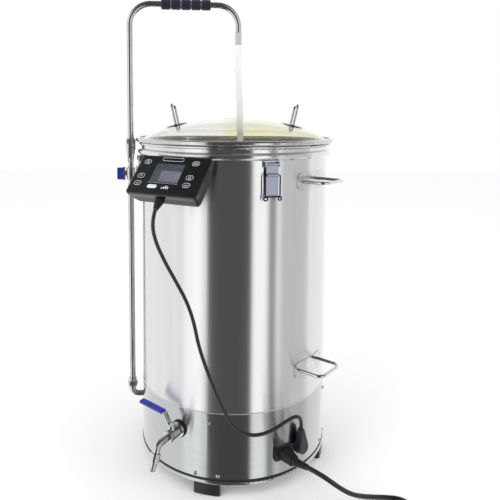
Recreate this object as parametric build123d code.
from build123d import *
import os
from math import acos, atan2, cos, degrees, pi, radians, sin, sqrt, tan

# Electric brew kettle: a steel vessel on a heated base, with a pump, a riser pipe and a swing-over
# recirculation arm, a glass lid, a drain tap and a tilted control box.
# Millimetres. The origin is on the kettle's axis at the height the feet stand on, +Z is up and
# the front is -Y. A place on the wall is given by its azimuth in degrees, from the front towards
# +X, by its radius from the axis and by its height.

# ---- Driving dimensions ---------------------------------------------------------------------
BODY_R = 200.0            # outside radius of the vessel and the base skirt
WALL = 1.0                # vessel and skirt sheet
FOOT_H = 24.0
PLATE_H = 7.5             # rolled rim of the base plate
GASKET_H = 3.5
SKIRT_H = 132.0
VESSEL_H = 510.5          # from the seam to the top of the rolled rim
FLOOR_RISE = 5.0          # vessel floor above the seam
LID_GAP = 0.3             # what the lid stands clear of the rolled rim
LID_DOME_H = 49.0         # top of the glass above the rolled rim
GLASS_T = 4.0
LID_HOLE_R = 23.0
HOSE_D = 14.0
PIPE_R = 6.35             # half-inch pipe
PIPE_WALL = 1.0
RISER_STAND_OFF = 23.0    # riser axis from the body wall
RISER_AZ = -85.0
ARM_TOP_ABOVE_RIM = 288.5
ARM_REACH = BODY_R + 30.0 # from the riser axis to the spout axis
ARM_DROP = 57.0           # from the top of the arm to the end of the spout
ARM_BEND_R = 45.0
TAP_AZ = -31.5
TAP_H = 122.0             # height of the tap's bore
CLIP_AZ = 19.7
CLIP_COUNT = 4
FOOT_AZ = -14.5
FOOT_COUNT = 4
HANDLE_AZ = 51.0
HANDLE_SPAN = 72.0
HANDLE_REACH = 48.0
HANDLE_WIRE_R = 3.2
BOX_AZ = -29.8            # control box
BOX_R = BODY_R + 42.0     # centre of its face from the kettle axis
BOX_TILT = 41.2           # how far its face leans back
BOX_W = 156.0
BOX_L = 88.0
BOX_D = 33.0
BOX_BACK_R = BODY_R + 9.2 # flat back of the box from the kettle axis
BUTTON_TRAVEL = 0.8
INLET_AZ = 30.0           # mains inlet
INLET_H = 77.0
SOCKET_AZ = 40.5          # control cable socket
SOCKET_H = 80.0
CABLE_D = 7.0
MAINS_D = 9.0
RUN_FIT = 0.06            # radial clearance of a pin in its bore
CLEAR = 0.4               # between faces of parts that move apart

# ---- Levels worked out from them ------------------------------------------------------------
Z_PLATE = FOOT_H
Z_GASKET = Z_PLATE + PLATE_H
Z_SKIRT = Z_GASKET + GASKET_H
Z_SEAM = Z_SKIRT + SKIRT_H
Z_FLOOR = Z_SEAM + FLOOR_RISE
Z_RIM = Z_SEAM + VESSEL_H
Z_LID = Z_RIM + LID_GAP
Z_ARM = Z_RIM + ARM_TOP_ABOVE_RIM
RIM_WIRE_R = 3.0
BEAD_H = 14.0
BEAD_BULGE = 7.7
Z_BEAD = Z_RIM - 19.5
RISER_R = BODY_R + RISER_STAND_OFF
BOX_Z = Z_RIM - 53.0      # centre of the control box's face

PARTS = {}


def keep(name, shape):
    PARTS[name] = shape
    return shape


def outward(az):
    return Vector(sin(radians(az)), -cos(radians(az)), 0)


def sideways(az):
    return Vector(cos(radians(az)), sin(radians(az)), 0)


def place(az, r, z):
    return outward(az) * r + Vector(0, 0, z)


def facing(az, r, z):
    """Plane on the wall: x to the right, y up, z out from the kettle."""
    return Plane(origin=place(az, r, z), x_dir=sideways(az), z_dir=outward(az))


def level(az, r, z):
    """Level plane: x to the right as seen from outside, y towards the axis, z up."""
    return Plane(origin=place(az, r, z), x_dir=sideways(az), z_dir=Vector(0, 0, 1))


def turned(edges):
    """Revolve a closed outline of radius and height about the kettle axis."""
    return revolve(Plane.XZ * make_face(edges), Axis.Z)


def ring(r_in, r_out, z0, z1):
    """Plain ring on the kettle axis."""
    section = Circle(r_out) - Circle(r_in) if r_in else Circle(r_out)
    return Pos(0, 0, z0) * extrude(section, z1 - z0)


def rod(r, length, hole=0):
    """Round bar along +Z from the origin, with an optional bore."""
    section = Circle(r) - Circle(hole) if hole else Circle(r)
    return extrude(section, length)


def block(x, y, z, fillet_r=0):
    """Upright block standing on its plane, with rounded upright edges."""
    section = RectangleRounded(x, y, fillet_r) if fillet_r else Rectangle(x, y)
    return extrude(section, z)


def tube_along(points, radii, r, hole=0):
    """Tube of radius r along straight runs joined by tangent arcs."""
    path = FilletPolyline(*points, radius=radii)
    start = Plane(origin=path @ 0, z_dir=path % 0)
    section = Circle(r) - Circle(hole) if hole else Circle(r)
    return sweep(start * section, path=path), path


def bend_radii(points, share=0.45):
    """Largest even bend at each corner of a route, from its two runs."""
    radii = []
    for before, corner, after in zip(points, points[1:], points[2:]):
        run_in = Vector(*corner) - Vector(*before)
        run_out = Vector(*after) - Vector(*corner)
        turn = radians(run_in.get_angle(run_out))
        shorter = min(run_in.length, run_out.length)
        radii.append(share * shorter / tan(turn / 2))
    return radii


def free_tube(name, points, diameter):
    """A cord's tube, with its radii and its volume printed for checking."""
    radii = bend_radii(points)
    solid, path = tube_along(points, radii, diameter / 2)
    ideal = pi * diameter**2 / 4 * path.length
    print(name, "length", round(path.length, 1), "volume ratio", round(solid.volume / ideal, 4),
          "radii", [round(r) for r in radii])
    return keep(name, solid)


def screw(head_r=4.2, head_h=2.6, shank_r=2.0, shank=5.0):
    """Pan-head screw with its head on +Z and its shank below."""
    dome_r = (head_r**2 + head_h**2) / (2 * head_h)
    dome = Pos(0, 0, head_h - dome_r) * Sphere(dome_r)
    head = dome & rod(head_r, head_h)
    return head + Pos(0, 0, -shank) * rod(shank_r, shank)


# ---- Vessel ---------------------------------------------------------------------------------
SPIGOT_H = 14.0           # part of the vessel that slips inside the skirt
SLIP = 0.3                # vessel spigot inside the skirt


def vessel():
    r_out = BODY_R
    r_in = BODY_R - WALL
    spigot_out = BODY_R - WALL - SLIP
    spigot_in = spigot_out - WALL
    bead_lo, bead_hi = Z_BEAD - BEAD_H / 2, Z_BEAD + BEAD_H / 2
    neck = Z_RIM - RIM_WIRE_R
    outline = [
        Polyline((0, Z_FLOOR), (spigot_in, Z_FLOOR), (spigot_in, Z_SEAM - SPIGOT_H),
                 (spigot_out, Z_SEAM - SPIGOT_H), (spigot_out, Z_SEAM), (r_out, Z_SEAM),
                 (r_out, bead_lo)),
        ThreePointArc((r_out, bead_lo), (r_out + BEAD_BULGE, Z_BEAD), (r_out + 1, bead_hi)),
        Polyline((r_out + 1, bead_hi), (r_out + 1, neck), (r_in + 1, neck), (r_in + 1, bead_hi)),
        ThreePointArc((r_in + 1, bead_hi), (r_in + BEAD_BULGE, Z_BEAD), (r_in, bead_lo)),
        Polyline((r_in, bead_lo), (r_in, Z_FLOOR + WALL), (0, Z_FLOOR + WALL), (0, Z_FLOOR)),
    ]
    shell = turned(outline)
    roll = Pos(0, 0, neck) * Torus(r_out + RIM_WIRE_R - 0.5, RIM_WIRE_R)
    drain = Pos(DRAIN_X, 0, Z_FLOOR) * rod(DRAIN_R, WALL)
    return keep("vessel", shell + roll - drain)


DRAIN_X = -60.0           # floor outlet that feeds the pump
DRAIN_R = 8.0


# ---- Base -----------------------------------------------------------------------------------
def base():
    shell = ring(BODY_R - WALL, BODY_R, Z_SKIRT, Z_SEAM - CLEAR)
    holes = [
        facing(TAP_AZ, BODY_R - 10, TAP_H) * rod(TAP_BORE_R + 2, 20),
        facing(INLET_AZ, BODY_R - 10, INLET_H) * block(26, 22, 20, 4),
        facing(SOCKET_AZ, BODY_R - 10, SOCKET_H) * block(22, 18, 20, 4),
        facing(RISER_AZ, BODY_R - 10, Z_OUTLET) * rod(PIPE_R + 0.5, 20),
    ]
    holes += [facing(az, BODY_R - 5, z) * rod(2.3, 10) for az, z in base_screw_places()]
    for hole in holes:
        shell -= hole
    keep("base_skirt", shell)

    seal = ring(BODY_R - 6, BODY_R + 0.6, Z_GASKET, Z_SKIRT)
    washer = facing(TAP_AZ, BODY_R - 1, TAP_H) * rod(17, 4, TAP_BORE_R + 2)
    washer -= Cylinder(BODY_R, Z_SEAM * 2)
    keep("rubber_seals", Compound(children=[seal, washer]))

    rim = ring(BODY_R - 8, BODY_R + 2, Z_PLATE, Z_GASKET)
    rim = fillet(rim.edges().filter_by(GeomType.CIRCLE).sort_by(SortBy.RADIUS)[-2:], 2.5)
    disc = ring(0, BODY_R - 8, Z_PLATE, Z_PLATE + 1.5)
    vent = Pos(0, 0, Z_PLATE) * extrude(SlotOverall(50, 6), 1.5)
    vents = [Rot(0, 0, turn) * (Pos(VENT_R, 0, 0) * vent) for turn in range(0, 360, 30)]
    for slot in vents:
        disc -= slot
    keep("base_plate", rim + disc)


VENT_R = 0.55 * BODY_R
TAP_BORE_R = 7.0
FOOT_W = 56.0
FOOT_DEPTH = 26.0
FOOT_FRONT = BODY_R + 1.0


def spaced(count, first):
    return [first + i * 360.0 / count for i in range(count)]


def feet():
    half = degrees(FOOT_W / 2 / FOOT_FRONT)
    pads = []
    for az in spaced(FOOT_COUNT, FOOT_AZ):
        corners = [place(a, r, 0) for a in (az - half, az + half) for r in (FOOT_FRONT, FOOT_FRONT - FOOT_DEPTH)]
        outer = ThreePointArc(corners[0], place(az, FOOT_FRONT, 0), corners[2])
        inner = ThreePointArc(corners[3], place(az, FOOT_FRONT - FOOT_DEPTH, 0), corners[1])
        outline = make_face([outer, Line(corners[2], corners[3]), inner, Line(corners[1], corners[0])])
        pad = extrude(outline, FOOT_H, dir=(0, 0, 1))
        pad = fillet(pad.edges().filter_by(Axis.Z), 5)
        pad = chamfer(pad.edges().group_by(Axis.Z)[0], 1.5)
        pads.append(pad)
    keep("feet", Compound(children=pads))


def base_screw_places():
    """Azimuth and height of the screws: two low ones at each foot and one above it."""
    places = []
    for az in spaced(FOOT_COUNT, FOOT_AZ):
        places += [(az - 6.5, Z_SKIRT + 6), (az + 6.5, Z_SKIRT + 6), (az + 1, Z_SEAM - 21)]
    return places


def base_screws():
    heads = [facing(az, BODY_R, z) * screw() for az, z in base_screw_places()]
    keep("base_screws", Compound(children=heads))


# ---- Heater and pump inside the base --------------------------------------------------------
HEATER_R = 4.0
PUMP_X = -60.0
PUMP_Y = 40.0
PUMP_R = 38.0
Z_OUTLET = 116.0
HEAD_H = 18.0
IMPELLER_R = 20.0


def heater():
    rings = []
    for r in (0.475 * BODY_R, 0.7 * BODY_R):
        loop = ring(r - HEATER_R, r + HEATER_R, Z_FLOOR - 2 * HEATER_R, Z_FLOOR)
        tails = [Pos(x, -r, Z_FLOOR - 2 * HEATER_R - 22) * rod(HEATER_R - 1, 24) for x in (-9, 9)]
        rings.append(loop + tails[0] + tails[1])
    keep("heater_rings", Compound(children=rings))


def pump():
    foot = Z_PLATE + 1.5
    can_h = 60.0
    motor = Pos(PUMP_X, PUMP_Y, foot) * rod(PUMP_R, can_h)
    motor = fillet(motor.edges().group_by(Axis.Z)[-1], 3)
    head = Pos(PUMP_X, PUMP_Y, foot + can_h) * rod(PUMP_R - 6, HEAD_H)
    chamber = Pos(PUMP_X, PUMP_Y, foot + can_h + 3) * rod(IMPELLER_R + 2, HEAD_H - 6)
    inlet = Pos(PUMP_X, PUMP_Y, foot + can_h + HEAD_H) * rod(8, 12)
    outlet = Pos(PUMP_X - PUMP_R + 8, PUMP_Y, foot + can_h + HEAD_H / 2) * Rot(0, -90, 0) * rod(6, 16)
    shaft_hole = Pos(PUMP_X, PUMP_Y, foot + can_h + 3) * rod(IMPELLER_R + 2, HEAD_H - 6)
    shaft = Pos(PUMP_X, PUMP_Y, foot + can_h + 3) * rod(3, HEAD_H - 6)
    body = motor + head + inlet + outlet - chamber - shaft_hole + shaft
    keep("pump", body)

    hub = rod(7, 8, 3 + RUN_FIT)
    disc = rod(IMPELLER_R, 2, 3 + RUN_FIT)
    wheel = hub + disc
    for turn in range(0, 360, 60):
        vane = Rot(0, 0, turn) * Pos(12.5, 0, 0) * block(13, 2, 8)
        wheel += vane
    keep("pump_impeller", Pos(PUMP_X, PUMP_Y, foot + can_h + 5) * wheel)

    top = foot + can_h + HEAD_H + 12
    drop, _ = tube_along([(DRAIN_X, 0, Z_FLOOR), (DRAIN_X, 0, Z_FLOOR - 24), (PUMP_X, PUMP_Y, top + 14),
                          (PUMP_X, PUMP_Y, top)], 9, 7)
    start = (PUMP_X - PUMP_R + 8 - 16, PUMP_Y, foot + can_h + HEAD_H / 2)
    stub = place(RISER_AZ, BODY_R - 24, Z_OUTLET)
    inner = place(RISER_AZ, BODY_R - 54, Z_OUTLET)
    feed, _ = tube_along([start, (start[0] - 24, start[1], start[2]), tuple(inner), tuple(stub)],
                         [9, 12], PIPE_R - 0.35)
    keep("pump_hoses", Compound(children=[drop, feed]))


# ---- Riser ----------------------------------------------------------------------------------
Z_NUT = 133.0             # union nut on the outlet elbow
NUT_H = 20.0
Z_VALVE = Z_RIM - 83.5
VALVE_H = 27.0
Z_COUPLER = Z_RIM - 37.5
COUPLER_H = 41.0
COUPLER_R = 10.4


def riser():
    axis = outward(RISER_AZ) * RISER_R
    path = [place(RISER_AZ, BODY_R - 24, Z_OUTLET), Vector(axis.X, axis.Y, Z_OUTLET),
            Vector(axis.X, axis.Y, Z_NUT)]
    elbow, _ = tube_along(path, 13, PIPE_R, PIPE_R - PIPE_WALL)
    keep("outlet_elbow", elbow)

    at = Pos(axis.X, axis.Y, 0)
    hexagon = extrude(RegularPolygon(10.5, 6), 9)
    nut = Pos(0, 0, Z_NUT) * rod(9.2, 4) + Pos(0, 0, Z_NUT + 4) * hexagon
    nut += Pos(0, 0, Z_NUT + 13) * rod(8.4, NUT_H - 13)
    nut -= Pos(0, 0, Z_NUT) * rod(PIPE_R - PIPE_WALL, NUT_H)
    keep("union_nut", at * nut)

    z0 = Z_NUT + NUT_H
    keep("riser_pipe", at * Pos(0, 0, z0) * rod(PIPE_R, Z_VALVE - z0, PIPE_R - PIPE_WALL))

    barrel = Pos(0, 0, Z_VALVE) * rod(9.6, VALVE_H)
    barrel = fillet(barrel.edges().filter_by(GeomType.CIRCLE), 2.5)
    boss = facing(RISER_AZ, 0, Z_VALVE + VALVE_H / 2) * rod(6.5, STEM_OUT)
    neck = Pos(0, 0, Z_VALVE + VALVE_H) * rod(6.0, Z_COUPLER - Z_VALVE - VALVE_H)
    body = barrel + boss + neck
    body -= facing(RISER_AZ, 0, Z_VALVE + VALVE_H / 2) * rod(3.2, STEM_OUT)
    body -= Pos(0, 0, Z_VALVE + VALVE_H / 2) * Sphere(7.2)
    keep("riser_valve_body", at * body)

    centre = facing(RISER_AZ, 0, Z_VALVE + VALVE_H / 2)
    stem = rod(3.2 - RUN_FIT, STEM_OUT + CLEAR) + Sphere(6.8) - Rot(90, 0, 0) * Cylinder(4, 20)
    tee = Pos(0, 0, STEM_OUT + CLEAR) * extrude(RectangleRounded(9, 29, 3), 4.5)
    keep("riser_valve_lever", at * (centre * (stem + tee)))
    grip = Pos(0, 0, STEM_OUT + CLEAR + 4.5) * extrude(RectangleRounded(11, 26, 4), 12.5)
    grip = fillet(grip.edges().group_by(Axis.Z)[-1], 2)
    keep("riser_lever_sleeve", at * (centre * grip))


STEM_OUT = 11.5           # valve stem boss from the riser axis


def cam_coupling():
    """Cam-and-groove joint: the female coupler on the riser and the grooved plug of the arm."""
    axis = outward(RISER_AZ) * RISER_R
    at = Pos(axis.X, axis.Y, 0)
    body = Pos(0, 0, Z_COUPLER) * rod(7.5, 9) + Pos(0, 0, Z_COUPLER + 9) * rod(9.2, 10)
    body += Pos(0, 0, Z_COUPLER + 19) * rod(COUPLER_R, COUPLER_H - 19)
    body -= Pos(0, 0, Z_COUPLER + 14) * rod(8.2, COUPLER_H)
    body -= Pos(0, 0, Z_COUPLER) * rod(4.5, 20)
    # The mouth is open on the two sides where the cams reach through it.
    for side in (-1, 1):
        tip = level(RISER_AZ, 0, Z_CAM) * Pos(side * COUPLER_R, 0, 0)
        body -= tip * Pos(0, 0, -9) * block(8, CAM_W + 1.0, 18)
        for ear in (-1, 1):
            lug = tip * Pos(side * 1.5, ear * (CAM_W / 2 + 1.9), -5) * block(9, 2.4, 10, 1)
            body += lug
        pin = tip * Pos(side * 3.2, 0, 0) * Rot(90, 0, 0) * Cylinder(1.5, CAM_W + 6)
        body += pin
    plug = Pos(0, 0, Z_COUPLER + 20) * rod(7.6, COUPLER_H - 15)
    groove = Pos(0, 0, Z_CAM) * Torus(8.6, 2.4)
    body -= Pos(0, 0, Z_COUPLER + COUPLER_H - 20) * rod(8.2, COUPLER_H)
    keep("cam_coupler", at * body)
    keep("cam_plug", at * (plug - groove))

    for name, side in (("cam_arm_front", 1), ("cam_arm_rear", -1)):
        hinge = level(RISER_AZ, 0, Z_CAM) * Pos(side * (COUPLER_R + 3.2), 0, 0)
        lobe = Rot(90, 0, 0) * Cylinder(3.0, CAM_W)
        arm = lobe + Pos(side * 1.8, 0, -CAM_L) * block(2.6, CAM_W, CAM_L, 1)
        arm -= Rot(90, 0, 0) * Cylinder(1.5 + RUN_FIT, CAM_W + 2)
        pull = Pos(side * 1.8, 0, -CAM_L - 4.5) * Rot(0, 90, 0) * Torus(4.6, 1.1)
        keep(name, at * (hinge * (arm + pull)))


Z_CAM = Z_COUPLER + COUPLER_H - 4
CAM_W = 8.0
CAM_L = 34.0


def recirculation_arm():
    base_pt = place(RISER_AZ, RISER_R, Z_COUPLER + COUPLER_H + 5)
    inward = outward(RISER_AZ) * -1
    spout = outward(RISER_AZ) * RISER_R + inward * ARM_REACH
    corner = Vector(base_pt.X, base_pt.Y, Z_ARM)
    over = Vector(spout.X, spout.Y, Z_ARM)
    end = Vector(spout.X, spout.Y, Z_ARM - ARM_DROP)
    arm, _ = tube_along([base_pt, corner, over, end], ARM_BEND_R, PIPE_R, PIPE_R - PIPE_WALL)
    keep("recirculation_arm", arm)

    start = GRIP_FROM
    beads, rings = [], []
    along = Plane(origin=corner + inward * start, z_dir=inward)
    for i in range(GRIP_BEADS):
        bead = rod(GRIP_R, BEAD_L, PIPE_R + 0.05)
        bead = fillet(bead.edges().filter_by(GeomType.CIRCLE).sort_by(SortBy.RADIUS)[-2:], 3)
        beads.append(along * Pos(0, 0, i * (BEAD_L + RING_L)) * bead)
        if i < GRIP_BEADS - 1:
            spacer = rod(GRIP_R - 2.2, RING_L, PIPE_R + 0.05)
            rings.append(along * Pos(0, 0, i * (BEAD_L + RING_L) + BEAD_L) * spacer)
    keep("grip_beads", Compound(children=beads))
    keep("grip_rings", Compound(children=rings))


GRIP_FROM = 66.0          # grip's start from the riser axis
GRIP_BEADS = 5
BEAD_L = 19.6
RING_L = 1.6
GRIP_R = 11.2


def silicone_hose():
    spout = outward(RISER_AZ) * (RISER_R - ARM_REACH)
    x, y, top = spout.X, spout.Y, Z_ARM - ARM_DROP
    lid_top = Z_RIM + LID_DOME_H
    points = [(x, y, top), (x + 0.2, y, top - 55), (x + 1.6, y - 0.5, top - 112),
              (x + 4.3, y - 1.5, lid_top + 14), (x + 5.3, y - 2.2, lid_top - 36),
              (x + 5.6, y - 2.6, lid_top - 84)]
    free_tube("silicone_hose", points, HOSE_D)


# ---- Lid ------------------------------------------------------------------------------------
LID_R = BODY_R + 11.5
DOME_R = 2.8 * BODY_R
SHOULDER_R = 0.75 * BODY_R
FLANGE_IN = BODY_R - 4
FLANGE_OUT = BODY_R + 4
LID_BAND_H = 9.0


def lid():
    z_top = Z_RIM + LID_DOME_H
    z_seat = Z_LID + 2.0
    sphere_z = z_top - DOME_R

    def skin(depth):
        r = DOME_R - depth
        lean = SHOULDER_R / DOME_R
        high = (LID_HOLE_R, sphere_z + sqrt(r**2 - LID_HOLE_R**2))
        mid = (r * lean * 0.6, sphere_z + r * sqrt(1 - (lean * 0.6)**2))
        low = (r * lean, sphere_z + r * sqrt(1 - lean**2))
        return high, mid, low

    high, mid, low = skin(0)
    cap = ThreePointArc(high, mid, low)
    slope = (cap % 1)
    brim = TangentArc(low, (FLANGE_IN, z_seat + GLASS_T), tangent=slope)
    high_in, mid_in, low_in = skin(GLASS_T)
    cap_in = ThreePointArc(high_in, mid_in, low_in)
    brim_in = TangentArc(low_in, (FLANGE_IN - GLASS_T * 0.6, z_seat), tangent=cap_in % 1)
    outline = [
        Line(high_in, high), cap, brim,
        Polyline((FLANGE_IN, z_seat + GLASS_T), (FLANGE_OUT, z_seat + GLASS_T), (FLANGE_OUT, z_seat),
                 (FLANGE_IN - GLASS_T * 0.6, z_seat)),
        brim_in, cap_in,
    ]
    glass = turned(outline)
    for side in (-1, 1):
        glass -= dome_frame(side) * Pos(0, 0, -10) * rod(2.6, 20)
    keep("lid_glass", glass)

    lip_out = BODY_R - WALL - 2.0
    band = turned([Polyline(
        (lip_out - 1.2, Z_RIM - 6), (lip_out, Z_RIM - 6), (lip_out, Z_LID), (LID_R, Z_LID),
        (LID_R, Z_LID + LID_BAND_H), (FLANGE_OUT, Z_LID + LID_BAND_H), (FLANGE_OUT, z_seat),
        (lip_out - 1.2, z_seat), (lip_out - 1.2, Z_RIM - 6))])
    rounded = band.edges().filter_by(GeomType.CIRCLE).sort_by(SortBy.RADIUS)[-2:]
    keep("lid_rim", fillet(rounded, 3))

    loops = []
    for side in (-1, 1):
        foot = dome_frame(side)
        path = FilletPolyline((0, -LOOP_W / 2, 0), (0, -LOOP_W / 2, LOOP_H), (0, LOOP_W / 2, LOOP_H),
                              (0, LOOP_W / 2, 0), radius=11)
        loop = sweep(Plane(origin=path @ 0, z_dir=path % 0) * Circle(2.8), path=path)
        shield = extrude(Ellipse(ESC_L / 2, ESC_W / 2), 1.6)
        shield = fillet(shield.edges().group_by(Axis.Z)[-1], 1.0)
        stud = Pos(0, 0, -GLASS_T - 6) * rod(2.5, GLASS_T + 6)
        nut = Pos(0, 0, -GLASS_T - 6) * extrude(RegularPolygon(5.5, 6), 5.5)
        loops.append(foot * (loop + shield + stud + nut))
    keep("lid_handles", Compound(children=loops))


LOOP_W = 62.0
LOOP_H = 44.0
ESC_L = 48.0
ESC_W = 80.0
HANDLE_OUT = 0.62 * BODY_R  # lid handle from the lid's centre


def dome_frame(side):
    """Plane on the glass where a lid handle stands: x outwards along the slope, z off the glass."""
    lean = HANDLE_OUT / DOME_R
    z = Z_RIM + LID_DOME_H - DOME_R + DOME_R * sqrt(1 - lean**2)
    normal = Vector(side * lean, 0, sqrt(1 - lean**2))
    run = Vector(side * sqrt(1 - lean**2), 0, -lean)
    return Plane(origin=(side * HANDLE_OUT, 0, z), x_dir=run, z_dir=normal)


# ---- Lid clips ------------------------------------------------------------------------------
Z_CLIP = Z_RIM - 32.5
CLIP_PIN_R = 1.5
CLIP_OUT = 7.0            # hinge pin from the wall
CLIP_W = 24.0
LEVER_L = 62.0
BAIL_AT = 20.0            # bail pivot below the hinge
BAIL_OUT = 3.2            # bail pivot in front of the lever
BAIL_DROP = 40.0
BAIL_W = CLIP_W + 6
BAIL_R = 1.3


def clips():
    brackets = []
    for i, az in enumerate(spaced(CLIP_COUNT, CLIP_AZ), start=1):
        wall = facing(az, BODY_R, Z_CLIP)
        pad = wall * Pos(0, 0, -4) * extrude(RectangleRounded(CLIP_W + 8, 16, 3), 6)
        pad -= Cylinder(BODY_R, 4 * Z_RIM)
        for side in (-1, 1):
            ear = wall * Pos(side * (CLIP_W / 2 + 1.6), 0, -2) * block(2, 9, CLIP_OUT + 5)
            ear -= Cylinder(BODY_R, 4 * Z_RIM)
            pad += ear
        pin = wall * Pos(0, 0, CLIP_OUT) * Rot(0, 90, 0) * Cylinder(CLIP_PIN_R, CLIP_W + 5.6)
        brackets.append(pad + pin)

        hinge = wall * Pos(0, 0, CLIP_OUT)
        barrel = Rot(0, 90, 0) * Cylinder(2.7, CLIP_W)
        blade = Pos(0, -LEVER_L / 2, -0.8) * extrude(RectangleRounded(CLIP_W, LEVER_L, 4), 1.6)
        pivot = Pos(0, -BAIL_AT, BAIL_OUT) * Rot(0, 90, 0) * Cylinder(2.9, CLIP_W)
        lever = barrel + blade + pivot
        lever -= Rot(0, 90, 0) * Cylinder(CLIP_PIN_R + RUN_FIT, CLIP_W + 2)
        lever -= Pos(0, -BAIL_AT, BAIL_OUT) * Rot(0, 90, 0) * Cylinder(BAIL_R + RUN_FIT, CLIP_W + 2)
        keep(f"clip_lever_{i}", hinge * lever)

        half = BAIL_W / 2
        low = -BAIL_DROP
        swing = hinge * Pos(0, -BAIL_AT, BAIL_OUT)
        path = FilletPolyline((-half + 7, 0, 0), (-half, 0, 0), (-half, low, 0), (half, low, 0),
                              (half, 0, 0), (half - 7, 0, 0), radius=2.6)
        bail = sweep(Plane(origin=path @ 0, z_dir=path % 0) * Circle(BAIL_R), path=path)
        keep(f"clip_bail_{i}", swing * bail)
    keep("clip_brackets", Compound(children=brackets))


# ---- Side handles ---------------------------------------------------------------------------
Z_HANDLE_UP = Z_RIM - 69.5
Z_HANDLE_LOW = Z_SEAM + 66.0
HANDLE_PLATE_H = 34.0
HANDLE_PLATE_T = 1.6


def side_handles():
    handles = []
    for az in (HANDLE_AZ, HANDLE_AZ + 180):
        for z in (Z_HANDLE_UP, Z_HANDLE_LOW):
            wall = facing(az, 0, z)
            half = HANDLE_SPAN / 2
            root = BODY_R * cos(half / BODY_R)
            path = FilletPolyline((-half, 0, root - 4), (-half, 0, BODY_R + HANDLE_REACH),
                                  (half, 0, BODY_R + HANDLE_REACH), (half, 0, root - 4), radius=14)
            loop = sweep(Plane(origin=path @ 0, z_dir=path % 0) * Circle(HANDLE_WIRE_R), path=path)
            loop = (wall * loop) - Cylinder(BODY_R, 4 * Z_RIM)
            shape = wall * Pos(0, 0, BODY_R / 2) * extrude(
                RectangleRounded(HANDLE_SPAN + 26, HANDLE_PLATE_H, 12), BODY_R)
            sheet = ring(BODY_R, BODY_R + HANDLE_PLATE_T, z - 40, z + 40)
            handles.append(loop + (shape & sheet))
    keep("side_handles", Compound(children=handles))


# ---- Control box ----------------------------------------------------------------------------
TOP_SHELL_D = 10.0
BUTTON_W = 17.0
BUTTON_H = 11.5
SCREEN_W = 66.0
SCREEN_H = 44.0
SCREEN_X = -5.0
SCREEN_Y = 5.5
BUTTON_PLACES = {
    "button_menu": (-58.5, 27.5), "button_up": (-58.5, -4.5), "button_down": (-58.5, -21.0),
    "button_start": (49.0, 29.0), "button_power": (49.0, -2.0), "button_enter": (49.0, -18.5),
}
GLAND_X = -5.0
GLAND_DEEP = 15.0
GLAND_L = 21.0


def box_frame():
    """Plane of the box's face: x to the right, y up its slope, z out of the face."""
    out, side = outward(BOX_AZ), sideways(BOX_AZ)
    lean = radians(BOX_TILT)
    normal = out * cos(lean) + Vector(0, 0, sin(lean))
    return Plane(origin=place(BOX_AZ, BOX_R, BOX_Z), x_dir=side, z_dir=normal)


def behind_box():
    """Everything nearer the kettle than the flat back of the box."""
    return facing(BOX_AZ, BOX_BACK_R - 200, BOX_Z) * block(400, 400, 200)


def control_box():
    face = box_frame()
    top = Pos(0, 0, -TOP_SHELL_D) * extrude(RectangleRounded(BOX_W, BOX_L, 7), TOP_SHELL_D)
    top = fillet(top.edges().group_by(Axis.Z)[-1], 2.5)
    top -= Pos(SCREEN_X, SCREEN_Y, -6) * extrude(Rectangle(SCREEN_W, SCREEN_H), 7)
    for x, y in BUTTON_PLACES.values():
        well = SlotOverall(BUTTON_W + 2 * CLEAR, BUTTON_H + 2 * CLEAR)
        top -= Pos(x, y, -5) * extrude(well, 6)
    keep("controller_top_shell", face * top - behind_box())

    wide = Pos(0, 0, -TOP_SHELL_D) * RectangleRounded(BOX_W, BOX_L, 7)
    narrow = Pos(0, 0, -BOX_D) * RectangleRounded(BOX_W - 16, BOX_L - 8, 7)
    keep("controller_bottom_shell", face * loft([wide, narrow]) - behind_box())

    pane = Pos(SCREEN_X, SCREEN_Y, -6) * extrude(Rectangle(SCREEN_W, SCREEN_H), 5.2)
    keep("controller_display", face * pane)

    for name, (x, y) in BUTTON_PLACES.items():
        cap = Pos(x, y, -5 + BUTTON_TRAVEL + 0.2) * extrude(SlotOverall(BUTTON_W, BUTTON_H), 5)
        cap = fillet(cap.edges().group_by(Axis.Z)[-1], 0.8)
        keep(name, face * cap)

    wall = facing(BOX_AZ, BODY_R, BOX_Z - 22)
    hanger = wall * Pos(0, 0, -6) * extrude(RectangleRounded(70, 36, 4), 8)
    web = wall * Pos(0, 0, -4) * block(50, 26, BOX_BACK_R - BODY_R + 4, 3)
    keep("controller_bracket", (hanger + web) - Cylinder(BODY_R, 4 * Z_RIM))

    gland = gland_frame() * (rod(9, 3) + Pos(0, 0, 3) * Cone(8.0, 4.6, GLAND_L - 3, align=BASE))
    keep("controller_gland", gland - PARTS["controller_top_shell"] - PARTS["controller_bottom_shell"])


BASE = (Align.CENTER, Align.CENTER, Align.MIN)


def gland_frame():
    """Plane on the lower side of the box where its cable leaves, z along the cable."""
    taper = 4.0 / (BOX_D - TOP_SHELL_D)
    low = -BOX_L / 2 + taper * (GLAND_DEEP - TOP_SHELL_D)
    face = box_frame()
    spot = face.from_local_coords(Vector(GLAND_X, low, -GLAND_DEEP))
    return Plane(origin=spot, x_dir=face.x_dir, z_dir=face.y_dir * -1)


# ---- Drain tap ------------------------------------------------------------------------------
TAP_FLANGE_T = 2.5
TAP_FLANGE_R = 15.0
TAP_WASHER_T = 3.0
TAP_BODY_R = 11.5
TAP_STEM_AT = 24.0        # stem from the wall
TAP_BODY_L = 38.0
TAP_STEM_H = 18.0
SPOUT_OUT = 66.0
SPOUT_R = 6.35
SPOUT_DROP = 42.0
SPOUT_LEAN = 17.0         # how far the spout's end stands out from its bend
COLLAR_AT = 14.0          # collar from the bend, along the spout
COLLAR_L = 16.0
SPOUT_STEP = 0.4          # how much thicker the spout is down to its free end


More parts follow.
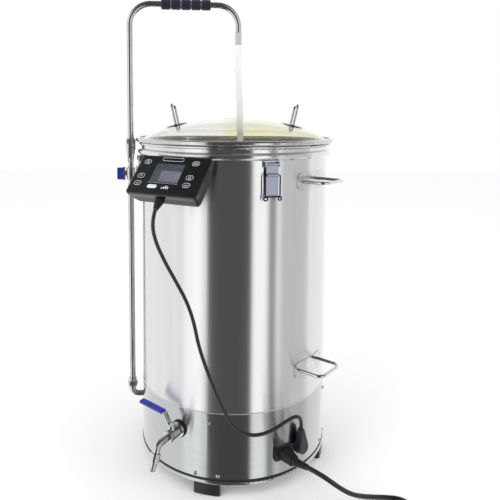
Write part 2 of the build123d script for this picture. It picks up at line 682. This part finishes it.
def tap():
    bore = facing(TAP_AZ, BODY_R, TAP_H)
    seat = TAP_WASHER_T
    body = Pos(0, 0, seat) * rod(TAP_FLANGE_R, TAP_FLANGE_T)
    body += Pos(0, 0, seat + TAP_FLANGE_T) * Cone(10.5, TAP_BODY_R, 6, align=BASE)
    body += Pos(0, 0, seat + TAP_FLANGE_T + 6) * rod(TAP_BODY_R, TAP_BODY_L - 18)
    body += Pos(0, 0, TAP_BODY_L - 7) * extrude(RegularPolygon(12.0, 8), 7)
    body += Pos(0, 0, TAP_STEM_AT) * Rot(-90, 0, 0) * rod(6.5, TAP_STEM_H)
    body += Pos(0, 0, -4) * rod(TAP_BORE_R + 1, 10)
    body -= Pos(0, 0, -5) * rod(TAP_BORE_R - 1.5, TAP_BODY_L + 10)
    body -= Pos(0, 0, TAP_STEM_AT) * Sphere(9.0)
    body -= Pos(0, 0, TAP_STEM_AT) * Rot(-90, 0, 0) * rod(3.2, TAP_STEM_H + 1)
    keep("tap_body", bore * body)

    stand = level(TAP_AZ, BODY_R + TAP_STEM_AT, TAP_H)
    foot = Pos(0, 0, TAP_STEM_H + CLEAR)
    profile = Polyline((8, 0), (-5, 0), (-17, 19.5), (-68, 26.5), (-68, 28.3), (-16, 21.3), (-4, 1.8),
                       (8, 1.8), (8, 0))
    strap = foot * extrude(Plane.XZ * make_face(profile), 5.5, both=True)
    ball = Rot(0, 90, 0) * (Sphere(8.6) - Cylinder(5, 30))
    stem = Pos(0, 0, 6) * rod(3.2 - RUN_FIT, TAP_STEM_H + CLEAR - 5)
    cap_nut = Pos(2.5, 0, TAP_STEM_H + CLEAR + 1) * extrude(RegularPolygon(4.6, 6), 4.5)
    lever = ball + stem + strap + cap_nut
    keep("tap_lever", stand * lever)
    slope = degrees(atan2(7, 51))
    tilt = foot * Pos(-20, 0, 20.8) * Rot(0, slope, 0) * Rot(0, -90, 0)
    sleeve = tilt * extrude(RectangleRounded(6.4, 14, 2.6), 56)
    sleeve = fillet(sleeve.edges().group_by(Axis.X)[0], 2.0)
    keep("tap_lever_sleeve", stand * (sleeve - strap))

    out, down = bore.z_dir, Vector(0, 0, -1)
    start = bore.from_local_coords(Vector(0, 0, TAP_BODY_L))
    elbow = bore.from_local_coords(Vector(0, 0, SPOUT_OUT))
    end = elbow + out * SPOUT_LEAN + down * SPOUT_DROP
    along = (end - elbow).normalized()
    step = elbow + along * (COLLAR_AT + COLLAR_L)
    upper, _ = tube_along([start, elbow, step], 11, SPOUT_R + SPOUT_STEP, SPOUT_R - 1.2)
    nose = Plane(origin=step, z_dir=along) * rod(SPOUT_R, (end - step).length, SPOUT_R - 1.2)
    keep("tap_spout", upper + nose)
    collar_at = Plane(origin=elbow + along * COLLAR_AT, z_dir=along)
    collar = rod(9.6, COLLAR_L, SPOUT_R + SPOUT_STEP + 0.05)
    collar = fillet(collar.edges().filter_by(GeomType.CIRCLE).sort_by(SortBy.RADIUS)[-2:], 1.5)
    keep("tap_collar", collar_at * collar)


# ---- Sockets, plugs and cords ---------------------------------------------------------------
FLANGE_W = 44.0
FLANGE_H = 27.0
SOCKET_R = 13.0
PLUG_OUT = 32.0           # mains connector body from its flange
RELIEF_L = 30.0
RELIEF_LEAN = 24.0


def wall_sockets():
    inlet = facing(INLET_AZ, BODY_R, INLET_H)
    flange = inlet * Pos(0, 0, -4) * extrude(RectangleRounded(FLANGE_W, FLANGE_H, 4), 8)
    flange -= Cylinder(BODY_R, 4 * Z_RIM)
    throat = inlet * Pos(0, 0, -16) * block(24, 20, 17, 3)
    heads = [inlet * Pos(side * (FLANGE_W / 2 - 5), 0, 4) * screw(2.8, 1.6, 1.5, 2) for side in (-1, 1)]
    socket = facing(SOCKET_AZ, BODY_R, SOCKET_H)
    cup = socket * Pos(0, 0, -10) * rod(SOCKET_R - 4.5, 14)
    collar = socket * Pos(0, 0, -2) * rod(SOCKET_R, 6) - Cylinder(BODY_R, 4 * Z_RIM)
    keep("wall_sockets", Compound(children=[flange + throat + heads[0] + heads[1], collar + cup]))


def relief_frame():
    """Where the relief of the mains connector starts, z along it; it leans to the right."""
    return facing(INLET_AZ, BODY_R, INLET_H) * Pos(0, 0, 3 + PLUG_OUT) * Rot(3, RELIEF_LEAN, 0)


def connectors():
    inlet = facing(INLET_AZ, BODY_R, INLET_H)
    hood = Pos(0, 0, 4) * loft([RectangleRounded(27, 21, 4), Pos(0, 0, PLUG_OUT) * RectangleRounded(20, 17, 5)])
    hood -= Pos(-FLANGE_W / 2 + 5, 0, 4) * rod(4, 3)
    relief = Cone(8.2, 5.4, RELIEF_L, align=BASE)
    for i in range(4):
        relief -= Pos(0, 0, 5 + i * 6) * (rod(12, 2) - rod(5.6 - i * 0.25, 2))
    neck = Pos(0, 0, PLUG_OUT) * Sphere(8.0)
    keep("mains_connector", inlet * hood + inlet * neck + relief_frame() * relief)

    socket = facing(SOCKET_AZ, BODY_R + 4, SOCKET_H) * Rot(0, 0, 5)
    base = rod(SOCKET_R + 2, 3)
    outline = make_hull([*Circle(SOCKET_R).edges(), *(Pos(0, CONNECTOR_UP - 4, 0) * Circle(4.8)).edges()])
    wedge = Pos(0, 0, 3) * extrude(outline, 12)
    wedge = fillet(wedge.edges().group_by(Axis.Z)[-1], 2.5)
    keep("controller_connector", socket * (base + wedge))


CONNECTOR_UP = 40.0       # cable's exit above the socket


def beside_wall(route):
    """Points of a cord from azimuths, stand-offs from the wall and heights."""
    return [tuple(place(az, BODY_R + off, z)) for az, off, z in route]


def controller_cable():
    """Cable from the box down the front of the kettle to its socket, held at both ends."""
    mouth = gland_frame().from_local_coords(Vector(0, 0, GLAND_L))
    top = facing(SOCKET_AZ, BODY_R + 13, SOCKET_H) * Rot(0, 0, 5) * Pos(0, CONNECTOR_UP + 0.8, 0)
    tail = top.position
    wall = [(-31.9, 76.7, 0.742), (-34.1, 58.5, 0.668), (-34.1, 31.9, 0.578), (-30.2, 16.4, 0.498),
            (-24.7, 10.3, 0.425), (-20.8, 8.6, 0.349), (-18.1, 9.3, 0.261), (-13.2, 9.6, 0.167),
            (-7.7, 9.9, 0.073)]
    skirt = [(-2.5, 10.2, 164), (3.3, 11.3, 140), (10.0, 12.2, 130), (17.0, 12.3, 131), (23.8, 13.1, 139),
             (29.9, 14.6, 149), (34.9, 16.9, 153), (38.5, 17.1, 143)]
    route = [(az, off, Z_SEAM + share * VESSEL_H) for az, off, share in wall] + skirt
    points = [tuple(mouth)] + beside_wall(route) + [tuple(tail)]
    free_tube("controller_cable", points, CABLE_D)


COIL_X = BODY_R + 96.0
COIL_Y = -BODY_R - 118.0
COIL_R = 50.0             # middle of the turns
COIL_ROWS = 3
COIL_LAYERS = 2
PLUG_R = 18.0


def mains_cord():
    """Mains cord from its connector to the floor and on to the coil it is stored in."""
    mouth = (relief_frame() * Pos(0, 0, RELIEF_L)).position
    half = MAINS_D / 2
    route = [(33.9, 77.1, 73.5), (35.8, 91.6, 67.5), (38.1, 103.1, 56.5), (41.2, 111.5, 41.5),
             (44.7, 119.6, 27), (48.7, 128.8, 16), (52.6, 142.4, 8.5), (55.8, 161.4, half),
             (57.3, 182.8, half), (56.5, 207.7, half), (54.1, 231.9, half), (51.1, 255.5, half)]
    points = [tuple(mouth)] + beside_wall(route)
    free_tube("mains_cord", points, MAINS_D)

    r_in = COIL_R - COIL_ROWS * MAINS_D / 2
    r_out = COIL_R + COIL_ROWS * MAINS_D / 2
    coil = Pos(COIL_X, COIL_Y, 0) * extrude(Circle(r_out) - Circle(r_in), COIL_LAYERS * MAINS_D)
    keep("mains_coil", coil)

    lie = Plane(origin=(COIL_X - 12, COIL_Y - r_out + 2, 11), x_dir=(-0.42, 0.9, 0), z_dir=(-0.9, -0.42, 0.163))
    relief = Cone(5.2, 8.0, 30, align=BASE)
    body = Pos(0, 0, 30) * Cone(11, PLUG_R, 16, align=BASE) + Pos(0, 0, 46) * rod(PLUG_R, 20)
    pins = [Pos(side * 9.5, 0, 66) * rod(2.4, 19) for side in (-1, 1)]
    keep("wall_plug", lie * (relief + body + pins[0] + pins[1]))


part_steps = [vessel, base, feet, base_screws, heater, pump, riser, cam_coupling, recirculation_arm,
              silicone_hose, lid, clips, side_handles, control_box, tap, wall_sockets, connectors,
              controller_cable, mains_cord]


def main():
    for step in part_steps:
        step()
    os.makedirs("parts", exist_ok=True)
    for name, shape in PARTS.items():
        export_step(shape, f"parts/{name}.step")
    print(len(PARTS), "nodes")


main()
